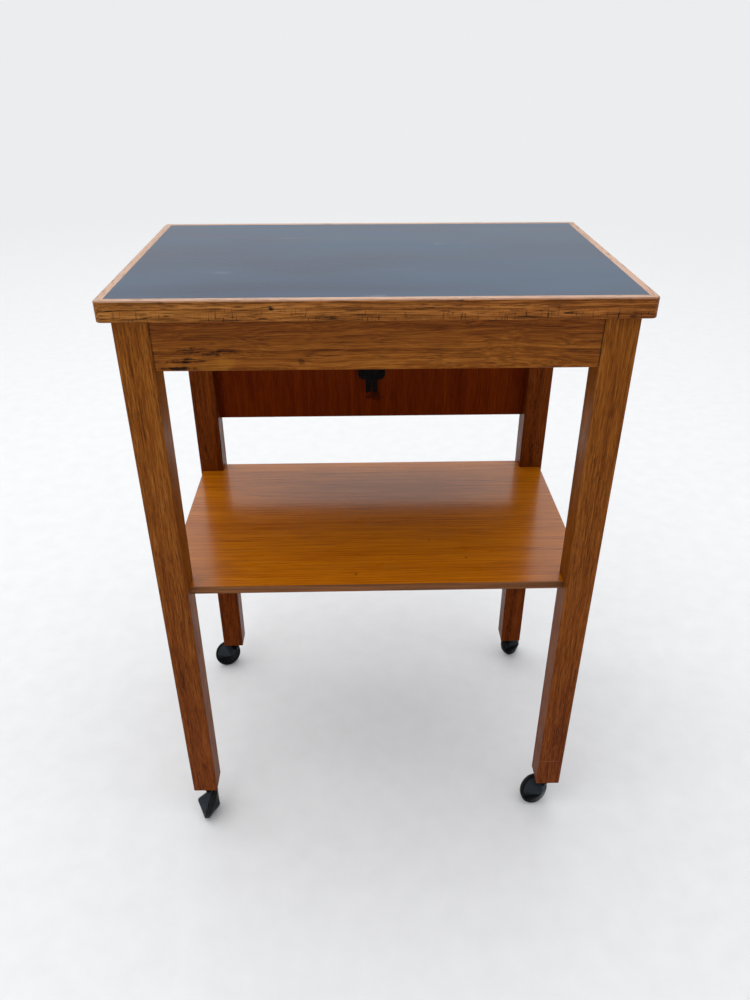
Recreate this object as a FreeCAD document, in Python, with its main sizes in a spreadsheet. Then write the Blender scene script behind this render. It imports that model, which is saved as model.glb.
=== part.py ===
import FreeCAD, Part
import os
import re
import Sketcher

# Typewriter table on four swivelling ball castors, two of each hand, in millimetres.
# Origin on the floor under the middle of the top: +X to the right, +Y to the rear, +Z up.

doc = FreeCAD.newDocument("TypewriterTable")

# ---------------------------------------------------------------- driving sizes
SIZES = {
    # top
    "top_width": 495, "top_depth": 318, "work_height": 682,
    "lipping_width": 8, "lipping_height": 19, "lipping_ease": 1, "corner_round": 6,
    "lino_thickness": 3,
    # legs
    "side_overhang": 12, "end_overhang": 6,
    "leg_section": 32, "foot_section": 29.6, "foot_height": 44,
    "edge_ease": 1,
    # aprons and rear panel
    "apron_height": 48, "apron_thickness": 16, "apron_setback": 1,
    "panel_height": 228, "panel_thickness": 9, "panel_groove": 6, "panel_setback": 6,
    # shelf
    "shelf_drop": 320, "shelf_thickness": 9.5, "shelf_side_inset": 3, "shelf_end_inset": 12,
    "shelf_housing": 4,
    # dowels and top fixing
    "dowel_diameter": 8, "dowel_length": 30, "dowel_spacing": 24,
    "block_height": 20, "block_reach": 34,
    "screw_diameter": 4, "screw_head": 8, "screw_length": 30,
    # castor: sleeve, stem and neck, upright
    "sleeve_diameter": 11, "sleeve_depth": 36, "sleeve_flange": 15, "flange_thickness": 0.8,
    "stem_diameter": 8, "stem_clearance": 0.05, "stem_top_gap": 2, "stem_point": 1,
    "collar_diameter": 11, "collar_thickness": 0.6, "collar_gap": 0.2,
    "neck_top_diameter": 10.4, "neck_diameter": 11.2, "neck_tip_diameter": 4,
    # castor: tilted wheel and hood
    "wheel_tilt": 19.4, "wheel_trail": 12.4, "wheel_side": 1.1,
    "tyre_radius": 20.2, "tyre_thickness": 3.8, "tyre_width": 6.4, "tread_start": 2.2,
    "tread_fall": 0.9,
    "slit": 0.8, "hood_step": 2.2, "hood_length": 12.8, "hood_nose": 2, "nose_round": 0.6,
    "dome_step": 2.2, "dome_nose": 3, "dome_height": 8.1, "dome_wall": 3,
    "axle_diameter": 6, "axle_clearance": 0.05, "axle_length": 17, "axle_end_gap": 0.4,
    # how each castor stands at rest, turned about its stem
    "front_left_turn": 357.3, "front_right_turn": 112.3, "rear_left_turn": 116.4,
    "rear_right_turn": 132.2,
    # spring clip under the top, on the rear panel
    "clip_width": 35.5, "clip_height": 20, "clip_round": 8, "clip_plate": 1.6, "clip_drop": 174,
    "prong_width": 6.8, "prong_gap": 1.8, "prong_length": 38, "prong_thickness": 1.6,
    "prong_flare": 1.6, "clip_screw": 3, "clip_screw_inset": 5,
}

sheet = doc.addObject("Spreadsheet::Sheet", "Sizes")
for row, (alias, size) in enumerate(SIZES.items(), start=1):
    sheet.set(f"A{row}", alias)
    sheet.set(f"B{row}", str(size))
    sheet.setAlias(f"B{row}", alias)
doc.recompute()


def bound(expression):
    """The expression with each size's name led by the sheet's name."""
    return re.sub(r"[a-z_]+", lambda word: lead_in(word.group()), expression)


def lead_in(word):
    return f"Sizes.{word}" if word in SIZES else word


def value(expression):
    """What an expression of sizes comes to now."""
    result = sheet.evalExpression(bound(expression))
    return float(getattr(result, "Value", result))


# Places and sizes that several pieces share, as expressions of the sheet's sizes.
TOP_UNDERSIDE = "( work_height - lipping_height )"
CORE_THICKNESS = "( lipping_height - lino_thickness )"
LEG_OUTER_X = "( top_width / 2 - side_overhang )"
LEG_OUTER_Y = "( top_depth / 2 - end_overhang )"
LEG_INNER_X = "( top_width / 2 - side_overhang - leg_section )"
LEG_INNER_Y = "( top_depth / 2 - end_overhang - leg_section )"
FOOT_X = "( top_width / 2 - side_overhang - foot_section / 2 )"
FOOT_Y = "( top_depth / 2 - end_overhang - foot_section / 2 )"
APRON_BOTTOM = "( work_height - lipping_height - apron_height )"
SHELF_BOTTOM = "( work_height - shelf_drop - shelf_thickness )"
PANEL_FRONT_Y = "( top_depth / 2 - end_overhang - panel_setback - panel_thickness )"
DOWEL_LINE = "( apron_setback + apron_thickness / 2 )"
SLEEVE_BORE = "( stem_diameter / 2 + stem_clearance )"
WHEEL_FACE = "( slit / 2 )"
TYRE_OUTER = "( slit / 2 + tyre_width )"
DOME_TIP = "( slit / 2 + tyre_width + dome_height )"
AXLE_BORE = "( axle_diameter / 2 + axle_clearance )"
AXLE_INNER = f"( {DOME_TIP} - dome_wall - axle_end_gap - axle_length )"
TYRE_SEAT = "( tyre_radius - tyre_thickness )"
HOOD_RADIUS = "( tyre_radius - hood_step )"
DOME_RADIUS = "( tyre_radius - dome_step )"
WHEEL_DROP = ("( foot_height - tyre_radius * cos( wheel_tilt * 1deg )"
              " - ( slit / 2 + tread_start ) * sin( wheel_tilt * 1deg ) )")
STEM_REACH = f"( {WHEEL_DROP} / 2 )"
NECK_TIP = f"( {WHEEL_DROP} * -0.9 )"
COLLAR_TOP = "( 0 - flange_thickness - collar_gap )"
NECK_TOP = f"( {COLLAR_TOP} - collar_thickness )"

# Each corner's side and end of the table, then the hand of its castor: two of each hand.
CORNERS = {
    "front_left": (-1, -1), "front_right": (1, -1), "rear_left": (-1, 1), "rear_right": (1, 1),
}
HANDS = {"front_left": -1, "front_right": 1, "rear_left": 1, "rear_right": -1}


# ---------------------------------------------------------------- modelling helpers
def new_body(label, places=None):
    """A PartDesign body with its Placement bound to the sheet."""
    body = doc.addObject("PartDesign::Body", label)
    body.Label = label
    for axis, expression in (places or {}).items():
        body.setExpression(f"Placement.Base.{axis}", bound(expression))
    return body


def new_sketch(body, role, shift=None, turn=None):
    """A sketch on one of the body's origin planes, moved or turned from it by sizes."""
    plane = next(item for item in body.Origin.OriginFeatures if item.Role == role)
    sketch = body.newObject("Sketcher::SketchObject", "Sketch")
    sketch.AttachmentSupport = [(plane, "")]
    sketch.MapMode = "FlatFace"
    if turn:
        about_normal = FreeCAD.Rotation(FreeCAD.Vector(0, 0, 1), 1)
        sketch.AttachmentOffset = FreeCAD.Placement(FreeCAD.Vector(), about_normal)
        sketch.setExpression("AttachmentOffset.Rotation.Angle", bound(turn))
    for axis, expression in (shift or {}).items():
        sketch.setExpression(f"AttachmentOffset.Base.{axis}", bound(expression))
    return sketch


def outline(sketch, points):
    """A closed outline of straight lines, each corner bound to two expressions."""
    corners = [FreeCAD.Vector(value(x), value(y), 0) for x, y in points]
    first = sketch.GeometryCount
    for index, corner in enumerate(corners):
        after = corners[(index + 1) % len(corners)]
        sketch.addGeometry(Part.LineSegment(corner, after), False)
    for index in range(len(corners)):
        after = first + (index + 1) % len(corners)
        sketch.addConstraint(Sketcher.Constraint("Coincident", first + index, 2, after, 1))
    for index, (x, y) in enumerate(points):
        for kind, expression in (("DistanceX", x), ("DistanceY", y)):
            now = value(expression)
            datum = Sketcher.Constraint(kind, -1, 1, first + index, 1, now)
            name = f"line{first + index}_{kind[-1].lower()}"
            sketch.renameConstraint(sketch.addConstraint(datum), name)
            sketch.setExpression(f"Constraints.{name}", bound(expression))
    return sketch


def circles(sketch, centres, diameter):
    """Circles of one size, each centre bound to two expressions."""
    for x, y in centres:
        centre = FreeCAD.Vector(value(x), value(y), 0)
        circle = Part.Circle(centre, FreeCAD.Vector(0, 0, 1), value(diameter) / 2)
        index = sketch.addGeometry(circle, False)
        for kind, expression in (("DistanceX", x), ("DistanceY", y), ("Diameter", diameter)):
            if kind == "Diameter":
                datum = Sketcher.Constraint(kind, index, value(expression))
            else:
                datum = Sketcher.Constraint(kind, -1, 1, index, 3, value(expression))
            name = f"circle{index}_{kind.lower()}"
            sketch.renameConstraint(sketch.addConstraint(datum), name)
            sketch.setExpression(f"Constraints.{name}", bound(expression))
    return sketch


def rectangle(x_low, x_high, y_low, y_high):
    return [(x_low, y_low), (x_high, y_low), (x_high, y_high), (x_low, y_high)]


def pad(body, sketch, length, both_ways=False):
    feature = body.newObject("PartDesign::Pad", "Pad")
    feature.Profile = sketch
    feature.Midplane = both_ways
    feature.setExpression("Length", bound(length))
    doc.recompute()
    return feature


def pocket(body, sketch, length, backwards=False, both_ways=False):
    """Cuts a sketch out of the body, and makes sure that it met the solid."""
    before = body.Shape.Volume
    feature = body.newObject("PartDesign::Pocket", "Pocket")
    feature.Profile = sketch
    feature.Midplane = both_ways
    feature.Reversed = backwards
    feature.setExpression("Length", bound(length))
    doc.recompute()
    if body.Shape.Volume > before - 0.01:
        raise RuntimeError(f"{body.Label}: a pocket cut nothing")
    return feature


def revolve(body, sketch, axis="H_Axis", cut=False):
    """Turns a profile once round an axis of its sketch, to add or to cut."""
    before = body.Shape.Volume if cut else 0
    kind = "Groove" if cut else "Revolution"
    feature = body.newObject(f"PartDesign::{kind}", kind)
    feature.Profile = sketch
    feature.ReferenceAxis = (sketch, [axis])
    feature.Angle = 360
    doc.recompute()
    if cut and body.Shape.Volume > before - 0.01:
        raise RuntimeError(f"{body.Label}: a groove cut nothing")
    return feature


def edges_where(body, test):
    """Names of the edges of the body's solid that pass a test."""
    return [f"Edge{number}" for number, edge in enumerate(body.Shape.Edges, start=1) if test(edge)]


def round_edges(body, test, radius, kind="Fillet"):
    base = body.Tip
    feature = body.newObject(f"PartDesign::{kind}", kind)
    names = edges_where(base, test)
    feature.Base = (base, names)
    feature.setExpression("Radius" if kind == "Fillet" else "Size", bound(radius))
    doc.recompute()
    return feature


def upright(edge):
    return edge.BoundBox.XLength < 1e-6 and edge.BoundBox.YLength < 1e-6


def level_at(height):
    return lambda edge: abs(edge.BoundBox.ZMin - height) < 1e-6 and edge.BoundBox.ZLength < 1e-6


def common(label, base, tool):
    feature = doc.addObject("Part::Common", label)
    feature.Base = base
    feature.Tool = tool
    return feature


SUB_PARTS = []


def keep(sub_part):
    """Lists an object as a finished sub-part, whose Label names its file."""
    SUB_PARTS.append(sub_part)
    return sub_part


# ---------------------------------------------------------------- top
def make_top():
    core_x = "( top_width / 2 - lipping_width )"
    core_y = "( top_depth / 2 - lipping_width )"
    board = new_body("top_board", {"z": TOP_UNDERSIDE})
    sheet_of_lino = new_body("lino_inlay", {"z": "work_height - lino_thickness"})
    for body, thickness in ((board, CORE_THICKNESS), (sheet_of_lino, "lino_thickness")):
        sketch = new_sketch(body, "XY_Plane")
        outline(sketch, rectangle(f"-{core_x}", core_x, f"-{core_y}", core_y))
        pad(body, sketch, thickness)
        keep(body)

    # Screw holes up into the board, one over each corner block.
    holes = new_sketch(board, "XY_Plane")
    circles(holes, [(f"{side} * {BLOCK_SCREW_X}", f"{end} * {block_screw_y(end)}")
                    for side, end in CORNERS.values()], "screw_diameter")
    pocket(board, holes, "screw_length - block_height", backwards=True)


def make_lippings():
    """Four oak strips mitred round the board, cut from one rounded frame."""
    frame = new_body("lipping_frame", {"z": TOP_UNDERSIDE})
    outer = new_sketch(frame, "XY_Plane")
    outline(outer, rectangle("-top_width / 2", "top_width / 2", "-top_depth / 2", "top_depth / 2"))
    pad(frame, outer, "lipping_height")
    round_edges(frame, upright, "corner_round")
    height = value("lipping_height")
    round_edges(frame, level_at(height), "lipping_ease", kind="Chamfer")
    round_edges(frame, level_at(0), "lipping_ease / 2", kind="Chamfer")
    inner = new_sketch(frame, "XY_Plane")
    core_x = "( top_width / 2 - lipping_width )"
    core_y = "( top_depth / 2 - lipping_width )"
    outline(inner, rectangle(f"-{core_x}", core_x, f"-{core_y}", core_y))
    pocket(frame, inner, "lipping_height", backwards=True)

    half_x, half_y = "top_width / 2", "top_depth / 2"
    mitres = {
        "front_lipping": [(f"-{half_x}", f"-{half_y}"), (half_x, f"-{half_y}"),
                          (core_x, f"-{core_y}"), (f"-{core_x}", f"-{core_y}")],
        "rear_lipping": [(f"-{half_x}", half_y), (f"-{core_x}", core_y),
                         (core_x, core_y), (half_x, half_y)],
        "left_lipping": [(f"-{half_x}", f"-{half_y}"), (f"-{core_x}", f"-{core_y}"),
                         (f"-{core_x}", core_y), (f"-{half_x}", half_y)],
        "right_lipping": [(half_x, f"-{half_y}"), (half_x, half_y),
                          (core_x, core_y), (core_x, f"-{core_y}")],
    }
    for label, points in mitres.items():
        wedge = new_body(f"{label}_mitre", {"z": TOP_UNDERSIDE})
        sketch = outline(new_sketch(wedge, "XY_Plane"), points)
        pad(wedge, sketch, "lipping_height")
        keep(common(label, frame, wedge))


# ---------------------------------------------------------------- legs
def leg_section_at(height):
    """The leg's width at a height, as it tapers on its two inner faces below the aprons."""
    rise = f"( ( {height} - foot_height ) / ( {APRON_BOTTOM} - foot_height ) )"
    return f"( foot_section + ( leg_section - foot_section ) * {rise} )"


def make_leg(corner, side, end):
    """One leg, square in section, with its outer corner straight and its inner faces tapered."""
    leg = new_body(f"{corner}_leg")
    outer_x, outer_y = f"{side} * {LEG_OUTER_X}", f"{end} * {LEG_OUTER_Y}"
    ease_x, ease_y = f"{side} * edge_ease", f"{end} * edge_ease"

    def section(size, height):
        """A square with its four corners eased."""
        inner_x, inner_y = f"{outer_x} - {side} * {size}", f"{outer_y} - {end} * {size}"
        points = [(outer_x, f"{outer_y} - {ease_y}"), (f"{outer_x} - {ease_x}", outer_y),
                  (f"{inner_x} + {ease_x}", outer_y), (inner_x, f"{outer_y} - {ease_y}"),
                  (inner_x, f"{inner_y} + {ease_y}"), (f"{inner_x} + {ease_x}", inner_y),
                  (f"{outer_x} - {ease_x}", inner_y), (outer_x, f"{inner_y} + {ease_y}")]
        if side * end < 0:
            points.reverse()
        return outline(new_sketch(leg, "XY_Plane", {"z": height}), points)

    foot = section("foot_section", "foot_height")
    head = section("leg_section", APRON_BOTTOM)
    loft = leg.newObject("PartDesign::AdditiveLoft", "Taper")
    loft.Profile = foot
    loft.Sections = [head]
    loft.Ruled = True
    doc.recompute()
    pad(leg, section("leg_section", APRON_BOTTOM), "apron_height")
    round_edges(leg, level_at(value("foot_height")), "edge_ease", kind="Chamfer")

    # Stopped housing in which the shelf's notched corner sits.
    inner_x = f"{side} * ( {LEG_OUTER_X} - {leg_section_at(SHELF_BOTTOM)} + shelf_housing )"
    inner_y = f"{end} * ( {LEG_OUTER_Y} - {leg_section_at(SHELF_BOTTOM)} + shelf_housing )"
    clear_x = f"{side} * ( {LEG_INNER_X} - shelf_housing )"
    clear_y = f"{end} * ( {LEG_INNER_Y} - shelf_housing )"
    shelf_x = f"{side} * ( {LEG_OUTER_X} - shelf_side_inset )"
    shelf_y = f"{end} * ( {LEG_OUTER_Y} - shelf_end_inset )"
    housing = new_sketch(leg, "XY_Plane", {"z": SHELF_BOTTOM})
    outline(housing, [(clear_x, clear_y), (shelf_x, clear_y), (shelf_x, inner_y),
                      (inner_x, inner_y), (inner_x, shelf_y), (clear_x, shelf_y)])
    pocket(leg, housing, "shelf_thickness", backwards=True)

    # Dowel holes: from the side apron, and from the front apron on the front legs.
    levels = [f"{APRON_BOTTOM} + apron_height / 2 - dowel_spacing / 2",
              f"{APRON_BOTTOM} + apron_height / 2 + dowel_spacing / 2"]
    from_side = new_sketch(leg, "XZ_Plane", {"z": f"-{end} * {LEG_INNER_Y}"})
    across = f"{side} * ( {LEG_OUTER_X} - {DOWEL_LINE} )"
    circles(from_side, [(across, level) for level in levels], "dowel_diameter")
    pocket(leg, from_side, "dowel_length / 2", backwards=end < 0)
    if end < 0:
        from_front = new_sketch(leg, "YZ_Plane", {"z": f"{side} * {LEG_INNER_X}"})
        across = f"-1 * ( {LEG_OUTER_Y} - {DOWEL_LINE} )"
        circles(from_front, [(across, level) for level in levels], "dowel_diameter")
        pocket(leg, from_front, "dowel_length / 2", backwards=side > 0)
    else:
        # Groove for the edge of the rear panel.
        groove = new_sketch(leg, "XY_Plane", {"z": "work_height - lipping_height - panel_height"})
        groove_x = f"{side} * ( {LEG_INNER_X} + panel_groove )"
        outline(groove, rectangle(f"{side} * ( {LEG_INNER_X} - panel_groove )", groove_x,
                                  PANEL_FRONT_Y, f"{PANEL_FRONT_Y} + panel_thickness"))
        pocket(leg, groove, "panel_height", backwards=True)

    # Bore for the castor's sleeve.
    bore = new_sketch(leg, "XY_Plane", {"z": "foot_height"})
    circles(bore, [(f"{side} * {FOOT_X}", f"{end} * {FOOT_Y}")], "sleeve_diameter")
    pocket(leg, bore, "sleeve_depth", backwards=True)
    keep(leg)


# ---------------------------------------------------------------- aprons, panel and dowels
def dowel_pair(label, role, ends, across):
    """Two dowels at each end of an apron, as separate solids of one sub-part."""
    rods = []
    for end_place in ends:
        for sign in (-1, 1):
            rod = doc.addObject("Part::Cylinder", f"{label}_rod")
            rod.setExpression("Radius", bound("dowel_diameter / 2"))
            rod.setExpression("Height", bound("dowel_length"))
            turn = FreeCAD.Rotation(FreeCAD.Vector(0, 0, 1), FreeCAD.Vector(*role))
            rod.Placement = FreeCAD.Placement(FreeCAD.Vector(), turn)
            level = f"{APRON_BOTTOM} + apron_height / 2 + {sign} * dowel_spacing / 2"
            along, other = ("x", "y") if role[0] else ("y", "x")
            rod.setExpression(f"Placement.Base.{along}", bound(f"{end_place} - dowel_length / 2"))
            rod.setExpression(f"Placement.Base.{other}", bound(across))
            rod.setExpression("Placement.Base.z", bound(level))
            rods.append(rod)
    group = doc.addObject("Part::Compound", label)
    group.Label = label
    group.Links = rods
    keep(group)


def make_front_apron():
    apron = new_body("front_apron", {"z": APRON_BOTTOM})
    sketch = new_sketch(apron, "XY_Plane")
    face = f"( -1 * {LEG_OUTER_Y} + apron_setback )"
    outline(sketch, rectangle(f"-{LEG_INNER_X}", LEG_INNER_X, face, f"{face} + apron_thickness"))
    pad(apron, sketch, "apron_height")
    long_lower = lambda edge: (abs(edge.BoundBox.ZMax) < 1e-6
                               and edge.BoundBox.XLength > value("apron_height"))
    round_edges(apron, long_lower, "edge_ease", kind="Chamfer")
    for side in (-1, 1):
        holes = new_sketch(apron, "YZ_Plane", {"z": f"{side} * {LEG_INNER_X}"})
        levels = ("apron_height / 2 - dowel_spacing / 2", "apron_height / 2 + dowel_spacing / 2")
        line = f"-1 * ( {LEG_OUTER_Y} - {DOWEL_LINE} )"
        circles(holes, [(line, level) for level in levels], "dowel_diameter")
        pocket(apron, holes, "dowel_length / 2", backwards=side < 0)
    keep(apron)
    dowel_pair("front_apron_dowels", (1, 0, 0), (f"-1 * {LEG_INNER_X}", LEG_INNER_X),
               f"-1 * ( {LEG_OUTER_Y} - {DOWEL_LINE} )")


def make_side_apron(name, side):
    apron = new_body(f"{name}_apron", {"z": APRON_BOTTOM})
    sketch = new_sketch(apron, "XY_Plane")
    face = f"{side} * ( {LEG_OUTER_X} - apron_setback )"
    outline(sketch, rectangle(f"{face} - {side} * apron_thickness", face,
                              f"-1 * {LEG_INNER_Y}", LEG_INNER_Y))
    pad(apron, sketch, "apron_height")
    long_lower = lambda edge: (abs(edge.BoundBox.ZMax) < 1e-6
                               and edge.BoundBox.YLength > value("apron_height"))
    round_edges(apron, long_lower, "edge_ease", kind="Chamfer")
    for end in (-1, 1):
        holes = new_sketch(apron, "XZ_Plane", {"z": f"-{end} * {LEG_INNER_Y}"})
        levels = ("apron_height / 2 - dowel_spacing / 2", "apron_height / 2 + dowel_spacing / 2")
        line = f"{side} * ( {LEG_OUTER_X} - {DOWEL_LINE} )"
        circles(holes, [(line, level) for level in levels], "dowel_diameter")
        pocket(apron, holes, "dowel_length / 2", backwards=end > 0)
    keep(apron)
    dowel_pair(f"{name}_apron_dowels", (0, 1, 0), (f"-1 * {LEG_INNER_Y}", LEG_INNER_Y),
               f"{side} * ( {LEG_OUTER_X} - {DOWEL_LINE} )")


def make_rear_panel():
    """Plywood panel that closes the back, its ends grooved into the rear legs."""
    panel = new_body("rear_panel", {"z": "work_height - lipping_height - panel_height"})
    sketch = new_sketch(panel, "XY_Plane")
    half = f"( {LEG_INNER_X} + panel_groove )"
    outline(sketch, rectangle(f"-{half}", half, PANEL_FRONT_Y,
                              f"{PANEL_FRONT_Y} + panel_thickness"))
    pad(panel, sketch, "panel_height")
    holes = new_sketch(panel, "XZ_Plane", {"z": f"-{PANEL_FRONT_Y}"})
    circles(holes, [(f"{sign} * {CLIP_SCREW_X}", CLIP_SCREW_Z_IN_PANEL) for sign in (-1, 1)],
            "clip_screw")
    pocket(panel, holes, "panel_thickness / 2")
    keep(panel)


# ---------------------------------------------------------------- shelf
def make_shelf():
    """Plywood shelf, notched round the legs and let into their housings."""
    shelf = new_body("shelf", {"z": SHELF_BOTTOM})
    side_x = f"( {LEG_OUTER_X} - shelf_side_inset )"
    end_y = f"( {LEG_OUTER_Y} - shelf_end_inset )"
    notch_x = f"( {LEG_OUTER_X} - {leg_section_at(SHELF_BOTTOM)} + shelf_housing )"
    notch_y = f"( {LEG_OUTER_Y} - {leg_section_at(SHELF_BOTTOM)} + shelf_housing )"
    quarter = [(notch_x, end_y), (notch_x, notch_y), (side_x, notch_y)]
    points = []
    for side, end, order in ((1, 1, 1), (1, -1, -1), (-1, -1, 1), (-1, 1, -1)):
        for x, y in quarter[::order]:
            points.append((f"{side} * {x}", f"{end} * {y}"))
    sketch = outline(new_sketch(shelf, "XY_Plane"), points)
    pad(shelf, sketch, "shelf_thickness")
    keep(shelf)


# ---------------------------------------------------------------- corner blocks
BLOCK_SCREW_X = "( top_width / 2 - side_overhang - leg_section - 4 )"


def inner_wall_y(end):
    """The inner face of the front apron or of the rear panel, measured from the middle."""
    if end < 0:
        return f"( {LEG_OUTER_Y} - apron_setback - apron_thickness )"
    return PANEL_FRONT_Y


def block_screw_y(end):
    return f"( {LEG_INNER_Y} - 4 )"


def make_corner_block(corner, side, end):
    """A glued block behind each leg, which braces the corner and carries the top."""
    block = new_body(f"{corner}_corner_block", {"z": f"{TOP_UNDERSIDE} - block_height"})
    wall_x = f"( {LEG_OUTER_X} - apron_setback - apron_thickness )"
    wall_y = inner_wall_y(end)
    quarter = [(LEG_INNER_X, wall_y), (f"{LEG_INNER_X} - block_reach", wall_y),
               (wall_x, f"{LEG_INNER_Y} - block_reach"), (wall_x, LEG_INNER_Y),
               (LEG_INNER_X, LEG_INNER_Y)]
    points = [(f"{side} * ( {x} )", f"{end} * ( {y} )") for x, y in quarter]
    pad(block, outline(new_sketch(block, "XY_Plane"), points), "block_height")
    centre = [(f"{side} * {BLOCK_SCREW_X}", f"{end} * {block_screw_y(end)}")]
    hole = circles(new_sketch(block, "XY_Plane"), centre, "screw_diameter")
    pocket(block, hole, "block_height", backwards=True)
    seat = new_sketch(block, "XY_Plane")
    circles(seat, centre, "screw_head")
    pocket(block, seat, "( screw_head - screw_diameter ) / 2", backwards=True)
    keep(block)


def make_top_screws():
    """Cheese-headed screws up through the corner blocks into the board."""
    screws = []
    for side, end in CORNERS.values():
        places = {"x": f"{side} * {BLOCK_SCREW_X}", "y": f"{end} * {block_screw_y(end)}",
                  "z": f"{TOP_UNDERSIDE} - block_height"}
        screw = new_body("top_screw", places)
        head = "( screw_head - screw_diameter ) / 2"
        profile = [("0", "0"), ("screw_head / 2", "0"), ("screw_head / 2", head),
                   ("screw_diameter / 2", head), ("screw_diameter / 2", "screw_length"),
                   ("0", "screw_length")]
        revolve(screw, outline(new_sketch(screw, "XZ_Plane"), profile), "V_Axis")
        screws.append(screw)
    group = doc.addObject("Part::Compound", "top_screws")
    group.Links = screws
    keep(group)


# ---------------------------------------------------------------- spring clip
CLIP_SCREW_X = "( clip_width / 2 - clip_screw_inset )"
CLIP_TOP = "( work_height - clip_drop )"
CLIP_SCREW_Z_IN_PANEL = "( lipping_height + panel_height - clip_drop - clip_height / 2 )"


def make_spring_clip():
    """A round-cornered back plate with two springy prongs that part a little at their tips."""
    plate = new_body("clip_plate", {"y": PANEL_FRONT_Y, "z": f"{CLIP_TOP} - clip_height / 2"})
    sketch = new_sketch(plate, "XZ_Plane")
    outline(sketch, rectangle("-clip_width / 2", "clip_width / 2", "-clip_height / 2",
                              "clip_height / 2"))
    pad(plate, sketch, "clip_plate")
    depth = value("clip_plate")
    corner_edges = lambda edge: abs(edge.BoundBox.YLength - depth) < 1e-6
    round_edges(plate, corner_edges, "clip_round")
    holes = new_sketch(plate, "XZ_Plane")
    circles(holes, [(f"{sign} * {CLIP_SCREW_X}", "0") for sign in (-1, 1)], "clip_screw")
    pocket(plate, holes, "clip_plate", backwards=True)
    keep(plate)

    prongs = []
    for sign in (-1, 1):
        prong = new_body("prong", {"y": f"{PANEL_FRONT_Y} - clip_plate", "z": f"{CLIP_TOP}"})
        inner, width = f"{sign} * prong_gap / 2", f"{sign} * prong_width"
        drop = "( 0 - prong_length )"
        points = [(inner, "0"), (f"{inner} + {width}", "0"),
                  (f"{inner} + {width}", f"{drop} + prong_flare"),
                  (f"{inner} + {width} + {sign} * prong_flare / 2", drop),
                  (f"{inner} + {width} / 2 + {sign} * prong_flare / 2", drop),
                  (inner, f"{drop} + prong_flare * 1.5")]
        sketch = outline(new_sketch(prong, "XZ_Plane"), points)
        pad(prong, sketch, "prong_thickness")
        prongs.append(prong)
    group = doc.addObject("Part::Compound", "clip_prongs")
    group.Links = prongs
    keep(group)

    screws = []
    for sign in (-1, 1):
        places = {"x": f"{sign} * {CLIP_SCREW_X}", "y": PANEL_FRONT_Y,
                  "z": f"{CLIP_TOP} - clip_height / 2"}
        screw = new_body("clip_screw", places)
        profile = [("0", "panel_thickness / 2"), ("clip_screw / 2", "panel_thickness / 2"),
                   ("clip_screw / 2", "-clip_plate"), ("clip_screw", "-clip_plate"),
                   ("clip_screw * 0.6", "-clip_plate - clip_screw / 3"),
                   ("0", "-clip_plate - clip_screw / 3")]
        revolve(screw, outline(new_sketch(screw, "XY_Plane"), profile), "V_Axis")
        screws.append(screw)
    group = doc.addObject("Part::Compound", "clip_screws")
    group.Links = screws
    keep(group)


# ---------------------------------------------------------------- castors
def castor_body(corner, piece, side, end):
    """A castor piece, drawn with the swivel axis upright and the wheel's side along +X."""
    body = new_body(f"{corner}_{piece}", {"x": f"{side} * {FOOT_X}", "y": f"{end} * {FOOT_Y}",
                                          "z": "foot_height"})
    return body


def turn_castor(body, corner):
    about_stem = FreeCAD.Rotation(FreeCAD.Vector(0, 0, 1), 1)
    body.Placement = FreeCAD.Placement(body.Placement.Base, about_stem)
    body.setExpression("Placement.Rotation.Angle", bound(f"{corner}_turn"))


def tilted_sketch(body, hand):
    """A sketch whose X axis is the wheel's axis, from the hood out to the wheel."""
    shift = {"x": "wheel_side", "y": f"-{WHEEL_DROP}", "z": f"{-hand} * wheel_trail"}
    return new_sketch(body, "XZ_Plane", shift, "-wheel_tilt")


def make_castor_stem(corner, side, end):
    """The sleeve pressed into the foot, and the steel stem that turns in it."""
    sleeve = castor_body(corner, "castor_sleeve", side, end)
    profile = [(SLEEVE_BORE, "-flange_thickness"), ("sleeve_flange / 2", "-flange_thickness"),
               ("sleeve_flange / 2", "0"), ("sleeve_diameter / 2", "0"),
               ("sleeve_diameter / 2", "sleeve_depth"), (SLEEVE_BORE, "sleeve_depth")]
    revolve(sleeve, outline(new_sketch(sleeve, "XZ_Plane"), profile), "V_Axis")

    stem = castor_body(corner, "castor_stem", side, end)
    radius, top = "stem_diameter / 2", "sleeve_depth - stem_top_gap"
    profile = [("0", f"-{STEM_REACH}"), (radius, f"-{STEM_REACH}"), (radius, NECK_TOP),
               ("collar_diameter / 2", NECK_TOP), ("collar_diameter / 2", COLLAR_TOP),
               (radius, COLLAR_TOP), (radius, f"{top} - stem_point"),
               (f"{radius} - stem_point", top), ("0", top)]
    revolve(stem, outline(new_sketch(stem, "XZ_Plane"), profile), "V_Axis")
    return sleeve, stem


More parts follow.
